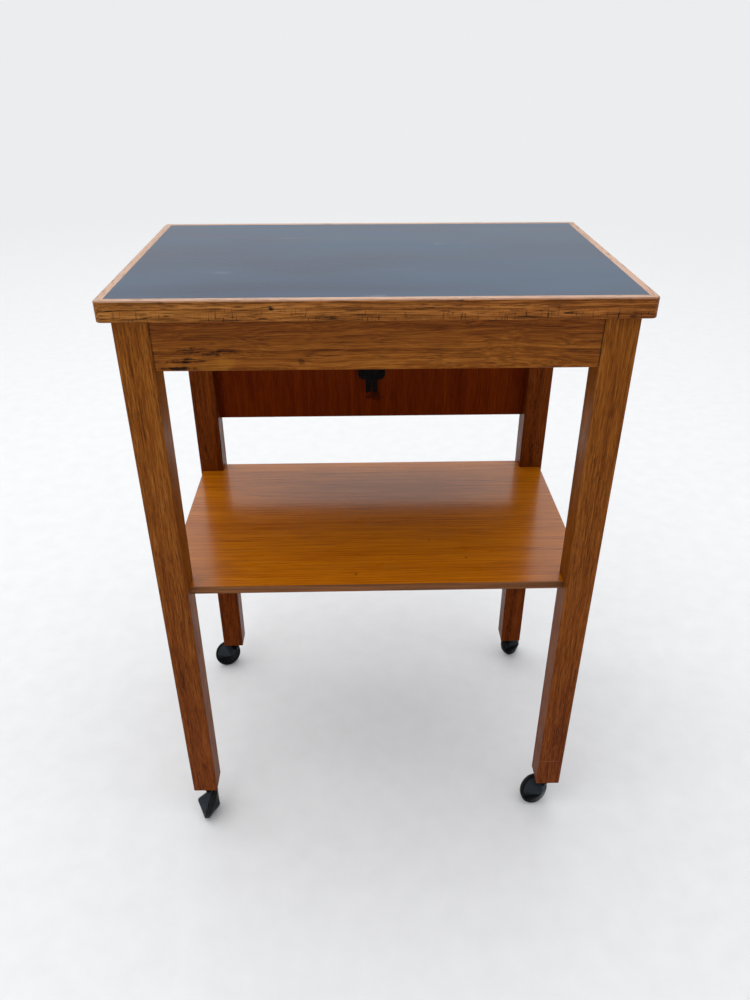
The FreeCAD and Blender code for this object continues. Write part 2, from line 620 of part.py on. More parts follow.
def make_castor_hood(corner, side, end, hand):
    """The hood, a blunt cone on the wheel's axis with an upright neck round the stem, and its axle."""
    hood = castor_body(corner, "castor_hood", side, end)
    face, nose = "-slit / 2", "( 0 - slit / 2 - hood_length )"
    profile = [(face, "0"), (face, HOOD_RADIUS), (nose, "hood_nose"),
               (f"{nose} - nose_round", "hood_nose - nose_round * 2"), (f"{nose} - nose_round", "0")]
    revolve(hood, outline(tilted_sketch(hood, hand), profile))
    profile = [("0", NECK_TOP), ("neck_top_diameter / 2", NECK_TOP),
               ("neck_diameter / 2", f"-{STEM_REACH}"), ("neck_tip_diameter / 2", NECK_TIP),
               ("0", NECK_TIP)]
    revolve(hood, outline(new_sketch(hood, "XZ_Plane"), profile), "V_Axis")

    # Room for the wheel beside the neck, then the holes for the stem and the axle.
    room = "( tyre_radius + slit )"
    outline_room = [(face, "0"), ("tyre_radius", "0"), ("tyre_radius", room), (face, room)]
    revolve(hood, outline(tilted_sketch(hood, hand), outline_room), cut=True)
    stem_hole = rectangle("0", "stem_diameter / 2", f"-{STEM_REACH}", NECK_TOP)
    revolve(hood, outline(new_sketch(hood, "XZ_Plane"), stem_hole), "V_Axis", cut=True)
    axle_hole = rectangle(AXLE_INNER, face, "0", "axle_diameter / 2")
    revolve(hood, outline(tilted_sketch(hood, hand), axle_hole), cut=True)

    axle = castor_body(corner, "castor_axle", side, end)
    profile = rectangle(AXLE_INNER, f"( {AXLE_INNER} + axle_length )", "0", "axle_diameter / 2")
    revolve(axle, outline(tilted_sketch(axle, hand), profile))
    return hood, axle


def make_castor_wheel(corner, side, end, hand):
    """The wheel, a blunt dome bored for the axle, and the tyre whose tread lies flat on the floor."""
    wheel = castor_body(corner, "castor_wheel", side, end)
    bore_end = f"( {DOME_TIP} - dome_wall )"
    profile = [(WHEEL_FACE, AXLE_BORE), (WHEEL_FACE, TYRE_SEAT), (TYRE_OUTER, TYRE_SEAT),
               (TYRE_OUTER, DOME_RADIUS), (f"{DOME_TIP} - nose_round", "dome_nose"),
               (DOME_TIP, "dome_nose - nose_round * 2"), (DOME_TIP, "0"),
               (bore_end, "0"), (bore_end, AXLE_BORE)]
    revolve(wheel, outline(tilted_sketch(wheel, hand), profile))

    tyre = castor_body(corner, "castor_tyre", side, end)
    tread_start = f"( {WHEEL_FACE} + tread_start )"
    tread_low = "( tyre_radius - ( tyre_width - tread_start ) * tan( wheel_tilt * 1deg ) )"
    profile = [(WHEEL_FACE, TYRE_SEAT), (TYRE_OUTER, TYRE_SEAT), (TYRE_OUTER, tread_low),
               (tread_start, "tyre_radius"), (WHEEL_FACE, "tyre_radius - tread_fall")]
    revolve(tyre, outline(tilted_sketch(tyre, hand), profile))
    return wheel, tyre


def make_castor(corner, side, end, hand):
    pieces = (*make_castor_stem(corner, side, end), *make_castor_hood(corner, side, end, hand),
              *make_castor_wheel(corner, side, end, hand))
    for body in pieces:
        turn_castor(body, corner)
        keep(body)


# ---------------------------------------------------------------- build and write
make_top()
make_lippings()
for corner, (side, end) in CORNERS.items():
    make_leg(corner, side, end)
make_front_apron()
make_side_apron("left", -1)
make_side_apron("right", 1)
make_rear_panel()
make_shelf()
for corner, (side, end) in CORNERS.items():
    make_corner_block(corner, side, end)
make_top_screws()
make_spring_clip()
for corner, (side, end) in CORNERS.items():
    make_castor(corner, side, end, HANDS[corner])

doc.recompute()
for item in doc.Objects:
    if "Invalid" in item.State or "Error" in item.State:
        raise RuntimeError(f"{item.Label}: {item.State}")
for sub_part in SUB_PARTS:
    if sub_part.Shape.isNull() or not sub_part.Shape.isValid():
        raise RuntimeError(f"{sub_part.Label}: its shape isn't valid")

os.makedirs("parts", exist_ok=True)
for sub_part in SUB_PARTS:
    sub_part.Shape.exportStep(f"parts/{sub_part.Label}.step")
print(len(SUB_PARTS), "sub-parts written")
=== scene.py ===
import math

import bmesh
import bpy
from mathutils import Matrix, Vector


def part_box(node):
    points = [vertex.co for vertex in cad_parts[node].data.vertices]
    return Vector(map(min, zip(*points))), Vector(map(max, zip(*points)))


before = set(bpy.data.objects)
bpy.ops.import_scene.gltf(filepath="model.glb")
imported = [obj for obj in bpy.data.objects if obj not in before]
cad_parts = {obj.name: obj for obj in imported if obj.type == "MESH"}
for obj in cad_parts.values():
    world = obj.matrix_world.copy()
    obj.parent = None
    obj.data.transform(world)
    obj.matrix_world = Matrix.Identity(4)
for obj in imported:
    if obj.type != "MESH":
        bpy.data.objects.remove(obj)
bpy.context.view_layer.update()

MM = 0.001

# The turn that lays each of the part's axes along X, the axis on which the grain is drawn.
GRAIN_TURN = {"X": (0, 0, 0), "Y": (0, 0, math.radians(-90)), "Z": (0, math.radians(90), 0)}
# The centre of the growth rings, on the grain's own axes, in metres.
PITH = (0.0, 0.09, 0.05)
# What is seen behind the table, in the sky and far out on the floor.
PALE = (0.97, 0.985, 1.0)
PALE_STRENGTH = 0.86
# The darkest marks in the oak: gouges and knots.
INK = (0.006, 0.002, 0.001)


def srgb(red, green, blue):
    """A colour given as it looks on screen, 0 to 255, in the shader's linear terms."""
    def linear(channel):
        share = channel / 255
        return share / 12.92 if share <= 0.04045 else ((share + 0.055) / 1.055) ** 2.4
    return (linear(red), linear(green), linear(blue))


def shaded(colour, share):
    """A colour made darker or lighter by a factor."""
    return tuple(channel * share for channel in colour)


# ---------------------------------------------------------------- places on the pieces
def on_front(node, right, up):
    """A place on a node's front face, in mm from that face's lower left-hand corner."""
    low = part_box(node)[0]
    return (low.x + right * MM, low.y, low.z + up * MM)


def on_top(node, right, back):
    """A place on a node's upper face, in mm from its front left-hand corner."""
    low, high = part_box(node)
    return (low.x + right * MM, low.y + back * MM, high.z)


# ---------------------------------------------------------------- node trees
class Tree:
    """Builds the node tree of a material or a world, a line at a time."""

    def __init__(self, owner, output):
        owner.use_nodes = True
        self.tree = owner.node_tree
        self.tree.nodes.clear()
        self.out = self.add(output)

    def add(self, kind, inputs=None, **settings):
        """A new node with its settings. inputs are numbers, colours or sockets by input name."""
        node = self.tree.nodes.new(kind)
        for key, value in settings.items():
            setattr(node, key, value)
        for key, value in (inputs or {}).items():
            self.link(value, node.inputs[key])
        return node

    def link(self, source, socket):
        """Puts a number, a vector or a colour into a socket, or links another node's output to it."""
        if isinstance(source, (int, float)):
            socket.default_value = source
        elif isinstance(source, tuple):
            opaque = (*source, 1.0)
            socket.default_value = opaque[:len(socket.default_value)]
        else:
            self.tree.links.new(source, socket)

    def math(self, operation, first, second=0.0, clamp=False):
        """A number worked out from one or two others."""
        node = self.add("ShaderNodeMath", {0: first, 1: second}, operation=operation, use_clamp=clamp)
        return node.outputs[0]

    def seen(self):
        """1 for what the camera sees, straight or in a reflection or glass, and 0 for other light."""
        path = self.add("ShaderNodeLightPath")
        share = self.math("MAXIMUM", path.outputs["Is Camera Ray"], path.outputs["Is Glossy Ray"])
        return self.math("MAXIMUM", share, path.outputs["Is Transmission Ray"])

    def choose(self, share, first, second):
        """Sends a blend of two shader nodes to the output."""
        blend = self.add("ShaderNodeMixShader", {0: share, 1: first.outputs[0], 2: second.outputs[0]})
        self.link(blend.outputs[0], self.out.inputs[0])


class Nodes(Tree):
    """One material's tree: a Principled shader, and patterns laid out over the part in metres."""

    def __init__(self, name):
        self.material = bpy.data.materials.new(name)
        super().__init__(self.material, "ShaderNodeOutputMaterial")
        self.shader = self.add("ShaderNodeBsdfPrincipled")
        self.link(self.shader.outputs[0], self.out.inputs[0])
        coordinates = self.add("ShaderNodeTexCoord")
        self.object_place = coordinates.outputs["Object"]
        self.object_normal = coordinates.outputs["Normal"]

    def vector(self, operation, first, second=(0.0, 0.0, 0.0), output=0):
        """A vector, or a number with output="Value", worked out from one or two vectors."""
        node = self.add("ShaderNodeVectorMath", {0: first, 1: second}, operation=operation)
        return node.outputs[output]

    def place(self, source=None, scale=(1, 1, 1), turn=(0, 0, 0), shift=(0, 0, 0)):
        """Coordinates scaled, then turned, then shifted."""
        node = self.add("ShaderNodeMapping", {"Vector": source or self.object_place, "Scale": scale,
                                              "Rotation": turn, "Location": shift})
        return node.outputs[0]

    def axis(self, name):
        """One coordinate of the place on the part, in metres."""
        return self.add("ShaderNodeSeparateXYZ", {0: self.object_place}).outputs[name]

    def upward(self):
        """How far the surface looks up, -1 to 1."""
        return self.add("ShaderNodeSeparateXYZ", {0: self.object_normal}).outputs["Z"]

    def noise(self, cells, detail, rough=0.55, source=None, output="Fac"):
        """Noise. cells is how many of its cells lie in a metre: one number, or one for each axis."""
        scale = cells if isinstance(cells, tuple) else (cells, cells, cells)
        node = self.add("ShaderNodeTexNoise", {"Vector": self.place(source, scale=scale), "Scale": 1.0,
                                               "Detail": detail, "Roughness": rough})
        return node.outputs[output]

    def spread(self, value, low, high, to_low=0.0, to_high=1.0):
        """The value stretched from one range to another, and held inside it."""
        node = self.add("ShaderNodeMapRange", {"Value": value, "From Min": low, "From Max": high,
                                               "To Min": to_low, "To Max": to_high}, clamp=True)
        return node.outputs[0]

    def swing(self, noise, low=0.0, high=1.0):
        """Noise made to run from low to high. Nearly all of it lies between 0.3 and 0.7."""
        return self.spread(noise, 0.3, 0.7, low, high)

    def mix(self, share, first, second, blend="MIX"):
        """A blend of two colours. The node takes them in sockets 6 and 7, and gives one as output 2."""
        node = self.add("ShaderNodeMix", {0: share, 6: first, 7: second},
                        data_type="RGBA", blend_type=blend)
        return node.outputs[2]

    def ramp(self, value, stops):
        """A colour by value, between stops of (value, colour)."""
        node = self.add("ShaderNodeValToRGB", {0: value})
        elements = node.color_ramp.elements
        while len(elements) < len(stops):
            elements.new(0.5)
        for element, (position, colour) in zip(elements, stops):
            element.position = position
            element.color = (*colour, 1.0)
        return node.outputs[0]

    def patch(self, centre, size, edge=0.4, broken=0.6):
        """1 in a ragged spot round a place on the part, and 0 away from it.

        size holds its half sizes in mm, edge is the share of them where it starts to fade, and
        broken is how ragged it is."""
        halves = tuple(half * MM for half in size)
        near = self.vector("SUBTRACT", self.object_place, centre)
        away = self.vector("LENGTH", self.vector("DIVIDE", near, halves), output="Value")
        ragged = self.swing(self.noise(0.35 / min(halves), 4.0), -broken, broken)
        return self.spread(self.math("ADD", away, ragged), edge, 1.0, 1.0, 0.0)

    def dashes(self, centre, size, low, high):
        """Dashes along X, gathered round a place. One starts where its noise passes low, and is
        full where that passes high."""
        lines = self.noise((75.0, 900.0, 760.0), 2.0)
        near = self.patch(centre, size, 0.3, 0.5)
        return self.math("MULTIPLY", near, self.spread(lines, low, high))

    def bump(self, height, distance, strength, normal=None):
        """A normal tilted by a height, over another normal where one is given."""
        node = self.add("ShaderNodeBump", {"Height": height, "Distance": distance,
                                           "Strength": strength})
        if normal is not None:
            self.link(normal, node.inputs["Normal"])
        return node.outputs[0]

    def soft_edges(self, radius):
        """The normal of a surface whose edges are rounded."""
        return self.add("ShaderNodeBevel", {"Radius": radius}, samples=4).outputs[0]

    def finish(self, colour, roughness, **sockets):
        """Fills in the shader. An underscore in a socket's name stands for a space."""
        sockets.update(Base_Color=colour, Roughness=roughness)
        for key, value in sockets.items():
            self.link(value, self.shader.inputs[key.replace("_", " ")])
        return self.material


# ---------------------------------------------------------------- wood
class Wood(Nodes):
    """Open-grained oak: the bare grain first, then a method for each thing that lies over it."""

    def __init__(self, name, line, colours, *, seed, figure=1.0, long=1.0, coarse=1.0, rings=0.3,
                 ring_size=7 * MM, contrast=1.0, pores=1.0, roughness=0.3):
        """line is the axis of the grain, and colours are its light, middle and dark tones.

        seed picks another piece of the same wood, and figure is how far its grain wanders. long
        and coarse stretch the streaks along and across the grain. rings, contrast and pores say
        how strongly each of them shows."""
        super().__init__(name)
        self.light, self.middle, self.dark = colours
        # What collects in pores and checks, and the painted shade in the seams.
        self.soot_and_shade = shaded(self.dark, 0.16)
        self.long = long
        self.coarse = coarse
        full_wander = 22 * MM
        self.along = self.place(turn=GRAIN_TURN[line], shift=(seed, seed * 0.37, seed * 0.61))
        self.bent = self.wander(full_wander * figure)
        self.cloud = self.strands(9.0, 70.0, 4.0, 0.55)
        self.streak = self.strands(24.0, 900.0, 3.0, 0.65)
        ringed = self.math("MULTIPLY", self.growth_rings(ring_size), rings)
        tone = self.add_streaks(ringed, contrast)
        grain = self.ramp(tone, [(0.05, self.dark), (0.50, self.middle), (0.95, self.light)])
        self.pore = self.open_pores(pores)
        self.colour = self.mix(self.math("MULTIPLY", self.pore, 0.85), grain, self.soot_and_shade)
        self.height = self.math("SUBTRACT", self.swing(self.streak, 0.0, 0.35), self.pore)
        rubbed = self.noise((30.0, 60.0, 60.0), 4.0, source=self.along)
        self.rough = self.swing(rubbed, roughness - 0.05, roughness + 0.10)
        self.coat = 0.0

    def wander(self, reach):
        """The place on the grain's own axes, drifting to and fro across the grain."""
        drift = self.noise((3.0, 11.0, 11.0), 3.0, source=self.along, output="Color")
        aside = self.vector("SUBTRACT", drift, (0.5, 0.5, 0.5))
        return self.vector("ADD", self.along, self.vector("MULTIPLY", aside, (0.0, reach, reach)))

    def strands(self, run, across, detail, rough):
        """Noise drawn out along the grain: run and across are its cells in a metre."""
        across = across / self.coarse
        return self.noise((run / self.long, across, across), detail, rough, source=self.bent)

    def growth_rings(self, ring_size):
        """Bands of uneven width, read from the distance to the pith line, -0.5 to 0.5."""
        off = self.vector("SUBTRACT", self.bent, PITH)
        flat = self.vector("MULTIPLY", off, (0.05, 1.0, 1.0))
        depth = self.vector("LENGTH", flat, output="Value")
        count = self.math("DIVIDE", depth, ring_size)
        bands = self.add("ShaderNodeTexNoise", {"W": count, "Scale": 1.0, "Detail": 4.0,
                                                "Roughness": 0.65}, noise_dimensions="1D")
        return self.spread(bands.outputs["Fac"], 0.32, 0.68, -0.5, 0.5)

    def add_streaks(self, tone, contrast):
        """The rings' tone with broad clouds, streaks about a millimetre wide and hair lines, 0 to 1."""
        hair = self.strands(70.0, 2000.0, 2.0, 0.6)
        for part, share in ((self.cloud, 0.25), (self.streak, 0.75), (hair, 0.40)):
            tone = self.math("ADD", tone, self.swing(part, -0.5 * share, 0.5 * share))
        return self.math("ADD", self.math("MULTIPLY", tone, contrast), 0.5, clamp=True)

    def open_pores(self, pores):
        """Dashes along the grain, thicker in some bands of it than in others."""
        dash = self.strands(85.0, 1350.0, 2.0, 0.55)
        gathered = self.noise((12.0, 60.0, 60.0), 3.0, source=self.bent)
        pore = self.math("MULTIPLY", self.spread(dash, 0.55, 0.63),
                         self.spread(gathered, 0.38, 0.58, 0.15, 1.0))
        return self.math("MULTIPLY", pore, pores, clamp=True)

    def edge_checks(self, node):
        """Short dark checks across the grain, most of them low on an edge strip."""
        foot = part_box(node)[0].z
        few_above, most_below = 13 * MM, 2 * MM
        lower = self.spread(self.axis("Z"), foot + few_above, foot + most_below)
        tick = self.noise((620.0, 95.0, 95.0), 1.5, source=self.along)
        crowd = self.noise((22.0, 20.0, 20.0), 3.0, source=self.along)
        check = self.math("MULTIPLY", self.spread(tick, 0.60, 0.66),
                          self.spread(crowd, 0.40, 0.60, 0.1, 1.0))
        check = self.math("MULTIPLY", check, self.math("ADD", lower, 0.15), clamp=True)
        self.colour = self.mix(check, self.colour, self.soot_and_shade)
        self.height = self.math("SUBTRACT", self.height, check)

    def mark(self, mask, colour, share):
        """Lays a colour over the wood where the mask is 1, and makes the wood rougher there."""
        rougher_by = 0.25
        strength = self.math("MULTIPLY", mask, share)
        self.colour = self.mix(strength, self.colour, colour)
        dull = self.math("MULTIPLY", strength, rougher_by)
        self.rough = self.math("ADD", self.rough, dull, clamp=True)

    def fade(self, axis, none, full, tint):
        """Tints the wood more and more from one place to another on an axis, in metres."""
        share = self.spread(self.axis(axis), none, full)
        self.colour = self.mix(share, self.colour, tint, "MULTIPLY")

    def painted_seam_shade(self, node):
        """Painted shade in the joint at each end of a piece that lies along X, where it is set back
        from the legs.
        """
        low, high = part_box(node)
        middle = (low.x + high.x) / 2
        end = (high.x - low.x) / 2
        width, darkest_width = 1.8 * MM, 0.4 * MM
        off = self.math("ABSOLUTE", self.math("SUBTRACT", self.axis("X"), middle))
        # Painted shade, darkest at the very end of the piece.
        seam_shade_share = self.spread(off, end - width, end - darkest_width, 0.0, 0.85)
        self.colour = self.mix(seam_shade_share, self.colour, self.soot_and_shade)

    def wear(self, share):
        """Worn arrises: where the soft-edged normal leaves the true one, the varnish has thinned."""
        worn_radius = 1.4 * MM
        true_normal = self.add("ShaderNodeNewGeometry").outputs["Normal"]
        turned = self.vector("DOT_PRODUCT", self.soft_edges(worn_radius), true_normal, output="Value")
        patchy = self.noise((35.0, 90.0, 90.0), 4.0, source=self.along)
        edge = self.math("MULTIPLY", self.spread(turned, 0.995, 0.90),
                         self.spread(patchy, 0.42, 0.62))
        self.colour = self.mix(self.math("MULTIPLY", edge, share), self.colour, self.light)

    def bleach_and_sheen(self, pale):
        """Faces that look up have lost their colour to the weather, and are made paler still as a
        painted sheen.
        """
        bleached_and_sheen = self.mix(self.swing(self.cloud, 0.0, 0.3), pale, self.middle)
        bleached_and_sheen = self.mix(self.math("MULTIPLY", self.pore, 0.7), bleached_and_sheen, self.dark)
        self.colour = self.mix(self.spread(self.upward(), 0.55, 0.9), self.colour, bleached_and_sheen)

    def sawn_plies(self, brown):
        """Plywood: a glossy coat on top, and sawn edges with layers of differing brown."""
        top = self.spread(self.upward(), 0.4, 0.8)
        layers = self.noise((8.0, 8.0, 520.0), 2.0)
        sawn = self.mix(self.spread(layers, 0.38, 0.62), brown, shaded(brown, 0.5))
        sawn = self.mix(self.math("MULTIPLY", self.pore, 0.6), sawn, self.soot_and_shade)
        self.colour = self.mix(top, sawn, self.colour)
        self.coat = top

    def done(self, gloss=0.07):
        """The finished material, with the grain and the pores felt in its surface."""
        pore_depth, coat_ripple, edge_radius = 0.15 * MM, 0.03 * MM, 0.8 * MM
        normal = self.bump(self.height, pore_depth, 0.5, self.soft_edges(edge_radius))
        return self.finish(self.colour, self.rough, Normal=normal, Specular_IOR_Level=gloss,
                           Coat_Weight=self.coat, Coat_Roughness=0.17, Coat_IOR=1.6,
                           Coat_Normal=self.bump(self.streak, coat_ripple, 0.3))


def make_front_leg_wood():
    """Darker towards the foot, with a pale scratch across the right leg."""
    colours = ((0.360, 0.136, 0.022), (0.232, 0.067, 0.007), (0.098, 0.024, 0.002))
    low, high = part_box("front_right_leg")
    oak = Wood("front_leg_wood", "Z", colours, seed=0.31, figure=0.6, contrast=0.95, pores=0.65,
               roughness=0.42)
    across = ((low.x + high.x) / 2, low.y, low.z + 42 * MM)
    oak.mark(oak.patch(across, (17, 6, 0.6), 0.7, 0.1), (0.35, 0.20, 0.12), 0.5)
    oak.fade("Z", high.z - 43 * MM, low.z + 36 * MM, (0.66, 0.46, 0.42))
    oak.wear(0.3)
    return oak.done(gloss=0.05)


def make_rear_leg_wood_painted_shade():
    """A copy of the leg wood with painted shade: darker and redder than the front legs, where the top
    and the panel shade them, and darker still towards the foot.
    """
    # These tones are the leg wood darkened as painted shade, for the shade under the top and the panel.
    colours = ((0.205, 0.050, 0.004), (0.138, 0.027, 0.002), (0.060, 0.011, 0.001))
    low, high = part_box("rear_left_leg")
    oak = Wood("rear_leg_wood", "Z", colours, seed=0.67, figure=0.6, pores=0.8)
    oak.fade("Z", high.z - 113 * MM, low.z + 16 * MM, (0.90, 0.82, 0.90))
    oak.wear(0.2)
    return oak.done(gloss=0.03)


def gouge_front_apron(oak):
    """The dark gouges, dashes and knot on the front apron, and a honey-coloured stain at its left."""
    face = "front_apron"
    stain = oak.patch(on_front(face, 64, 6), (24, 6, 8), 0.1, 0.9)
    upper_gouge = oak.patch(on_front(face, 24, 9), (15, 4, 0.9), 0.4, 0.5)
    lower_gouge = oak.patch(on_front(face, 21, 2.8), (19, 4, 1.9), 0.5, 0.4)
    left_dashes = oak.dashes(on_front(face, 30, 10), (18, 4, 3.5), 0.47, 0.54)
    upper_dashes = oak.dashes(on_front(face, 54, 17.5), (42, 4, 6.0), 0.47, 0.55)
    right_dashes = oak.dashes(on_front(face, 43, 8), (10, 4, 5.0), 0.50, 0.58)
    knot = oak.patch(on_front(face, 134, 9), (3, 4, 2.6), 0.1, 1.4)
    oak.mark(stain, (0.360, 0.140, 0.016), 0.45)
    for mask, share in ((upper_gouge, 0.85), (lower_gouge, 0.95), (left_dashes, 0.95),
                        (upper_dashes, 0.95), (right_dashes, 0.90), (knot, 0.50)):
        oak.mark(mask, INK, share)


def make_apron_wood(name, line, front=False):
    """Boldly ringed, with painted shade darkening it towards the top, under the top's overhang. The
    front apron has its marks, and painted shade in its joints.
    """
    colours = ((0.335, 0.112, 0.015), (0.214, 0.061, 0.006), (0.098, 0.023, 0.002))
    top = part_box("front_apron")[1].z
    oak = Wood(name, line, colours, seed=0.83, figure=1.8, long=1.7, rings=0.45, ring_size=6 * MM,
               pores=0.7)
    if front:
        gouge_front_apron(oak)
    # Painted shade: the top 23 mm of the apron darkened, where the overhang of the top shades it.
    oak.fade("Z", top - 23 * MM, top, (0.78, 0.66, 0.62))
    if front:
        # Painted shade along the joints at the apron's ends.
        oak.painted_seam_shade("front_apron")
    oak.wear(0.55)
    return oak.done()


def make_lipping_wood(name, line):
    """Weathered and open-pored, pale on top from bleaching and a painted sheen, with checks below and a
    knot in the front strip.
    """
    colours = ((0.470, 0.190, 0.042), (0.295, 0.103, 0.017), (0.122, 0.037, 0.004))
    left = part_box("left_lipping")[0].x
    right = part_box("right_lipping")[1].x
    oak = Wood(name, line, colours, seed=0.12, figure=0.6, long=1.3, ring_size=5 * MM,
               contrast=1.15, pores=1.5, roughness=0.34)
    oak.edge_checks("front_lipping")
    knot = oak.patch(on_front("front_lipping", 152, 11), (2.6, 4, 2.2), 0.3, 0.6)
    oak.mark(knot, INK, 0.95)
    oak.fade("X", left + 7.5 * MM, right - 47.5 * MM, (0.84, 0.72, 0.62))
    oak.wear(0.4)
    # Bleaching, together with a painted sheen, on the faces that look up.
    oak.bleach_and_sheen((0.58, 0.38, 0.28))
    return oak.done(gloss=0.09)


def make_shelf_wood():
    """Orange plywood with a glossy top, a few dark flecks on it and sawn edges."""
    colours = ((0.640, 0.200, 0.003), (0.510, 0.144, 0.002), (0.310, 0.070, 0.001))
    oak = Wood("shelf_ply", "X", colours, seed=0.57, figure=0.08, long=3.0, coarse=1.4, rings=0.10,
               ring_size=3 * MM, contrast=1.1, pores=0.45)
    # Where the flecks lie, to the right and to the back, in mm.
    flecks = ((209, 19), (336, 48), (295, 83), (34, 118), (455, 12), (12, 60))
    for right, back in flecks:
        fleck = oak.patch(on_top("shelf", right, back), (2.2, 1.3, 3), 0.2, 0.9)
        oak.mark(fleck, (0.020, 0.005, 0.001), 0.7)
    oak.wear(0.2)
    oak.sawn_plies((0.230, 0.085, 0.028))
    return oak.done(gloss=0.10)


def make_panel_wood():
    """Dark red-brown plywood, darker in a patch below the clip."""
    colours = ((0.190, 0.030, 0.001), (0.138, 0.018, 0.0005), (0.085, 0.010, 0.0005))
    oak = Wood("panel_ply", "Z", colours, seed=0.44, figure=0.5, ring_size=9 * MM, pores=0.3)
    below_clip = oak.patch(on_front("rear_panel", 210, 30), (14, 6, 5), 0.1, 1.4)
    oak.mark(below_clip, (0.008, 0.002, 0.001), 0.6)
    return oak.done(gloss=0.02)


def make_plain_wood(name, tint):
    """Bare wood, for the pieces that are hidden in the table."""
    colours = (shaded(tint, 1.2), tint, shaded(tint, 0.6))
    return Wood(name, "X", colours, seed=0.7, pores=0.6, roughness=0.6).done()


# ---------------------------------------------------------------- other materials
def make_lino():
    """Slate-blue linoleum, streaked along its length, waxed and lightly scuffed."""
    dark_blue, light_blue = (0.010, 0.023, 0.060), (0.044, 0.078, 0.127)
    scuffed = srgb(168, 172, 178)
    nodes = Nodes("lino")
    streaks = nodes.noise((2.2, 34.0, 1.0), 1.0, 0.4)
    clouds = nodes.noise((5.0, 16.0, 1.0), 1.0)
    share = nodes.math("ADD", nodes.swing(streaks, 0.0, 0.4), nodes.swing(clouds, 0.0, 0.6))
    colour = nodes.mix(nodes.spread(share, 0.15, 0.85), dark_blue, light_blue)
    brushed = nodes.spread(nodes.noise((16.0, 420.0, 1.0), 3.0), 0.50, 0.66, 0.0, 0.32)
    # Where the scuffs lie, to the right and to the back, and half their length, in mm.
    scuffs = ((260, 93, 26), (92, 83, 14), (236, 3, 12), (330, 200, 30), (150, 230, 22))
    for right, back, half_length in scuffs:
        near = nodes.patch(on_top("lino_inlay", right, back), (half_length, 5, 3), 0.1, 0.8)
        colour = nodes.mix(nodes.math("MULTIPLY", near, brushed), colour, scuffed)
    rough = nodes.math("ADD", nodes.swing(clouds, 0.26, 0.34), nodes.swing(streaks, -0.03, 0.04))
    return nodes.finish(colour, rough, Specular_IOR_Level=0.25)


def make_black(name, tint, roughness, gloss, dusty, dust_and_sky_share=0.0):
    """Moulded or enamelled black, a little dusty and rubbed. The last argument is the dust on what
    looks up, together with a painted reflection of the sky there.
    """
    dust_grey, grit_grey, dust_and_sky_grey = srgb(92, 92, 90), srgb(150, 145, 136), srgb(68, 74, 80)
    nodes = Nodes(name)
    dust = nodes.noise(160.0, 6.0, 0.6)
    grit = nodes.noise(1400.0, 3.0, 0.6)
    rub = nodes.noise((70.0, 70.0, 175.0), 5.0)
    colour = nodes.mix(nodes.spread(dust, 0.50, 0.75, 0.0, dusty), tint, dust_grey)
    colour = nodes.mix(nodes.spread(grit, 0.68, 0.74, 0.0, dusty), colour, grit_grey)
    if dust_and_sky_share:
        # Dust, together with a painted blue-grey reflection of the sky, on what looks up.
        dust_and_sky = nodes.math("MULTIPLY", nodes.spread(nodes.upward(), 0.12, 0.42), dust_and_sky_share)
        colour = nodes.mix(dust_and_sky, colour, dust_and_sky_grey)
    return nodes.finish(colour, nodes.swing(rub, roughness - 0.05, roughness + 0.12),
                        Normal=nodes.bump(grit, 0.04 * MM, 0.2, nodes.soft_edges(0.5 * MM)),
                        Specular_IOR_Level=gloss)


def make_rubber():
    """Grey-black tyre rubber, dusty in patches."""
    nodes = Nodes("tyre_rubber")
    grit = nodes.noise(900.0, 4.0, 0.6)
    dust = nodes.noise(120.0, 5.0, 0.6)
    colour = nodes.mix(nodes.spread(dust, 0.40, 0.72), srgb(10, 11, 12), srgb(28, 29, 31))
    colour = nodes.mix(nodes.spread(grit, 0.64, 0.72, 0.0, 0.2), colour, srgb(96, 92, 86))
    return nodes.finish(colour, nodes.swing(dust, 0.45, 0.62),
                        Normal=nodes.bump(grit, 0.06 * MM, 0.4, nodes.soft_edges(0.4 * MM)),
                        Specular_IOR_Level=0.12)


def make_steel(name, tint, roughness):
    """Drawn steel with fine lines across it, dulled by rust in patches."""
    nodes = Nodes(name)
    drawn = nodes.noise((300.0, 300.0, 2400.0), 4.0)
    stain = nodes.noise(300.0, 5.0, 0.6)
    rust = srgb(96, 62, 40)
    colour = nodes.mix(nodes.swing(drawn), shaded(tint, 0.8), tint)
    colour = nodes.mix(nodes.spread(stain, 0.58, 0.72, 0.0, 0.7), colour, rust)
    rough = nodes.spread(stain, 0.4, 0.7, roughness, roughness + 0.3)
    return nodes.finish(colour, rough, Normal=nodes.bump(drawn, 0.02 * MM, 0.4),
                        Metallic=nodes.spread(stain, 0.58, 0.72, 1.0, 0.3))


# ---------------------------------------------------------------- stage, light and camera
def make_sweep_paint():
    """Pale grey paint, which far from the table looks like the sky and lights nothing."""
    pale_from, pale_by = 1.2, 4.0
    nodes = Nodes("sweep_paint")
    grain = nodes.noise(30.0, 3.0)
    colour = nodes.mix(nodes.swing(grain), srgb(226, 226, 226), srgb(230, 230, 230))
    paint = nodes.finish(colour, 0.9, Specular_IOR_Level=0.1)
    pale = nodes.add("ShaderNodeEmission", {"Color": PALE, "Strength": PALE_STRENGTH})
    away = nodes.vector("LENGTH", nodes.object_place, output="Value")
    far = nodes.math("MULTIPLY", nodes.spread(away, pale_from, pale_by), nodes.seen())
    nodes.choose(far, nodes.shader, pale)
    return paint


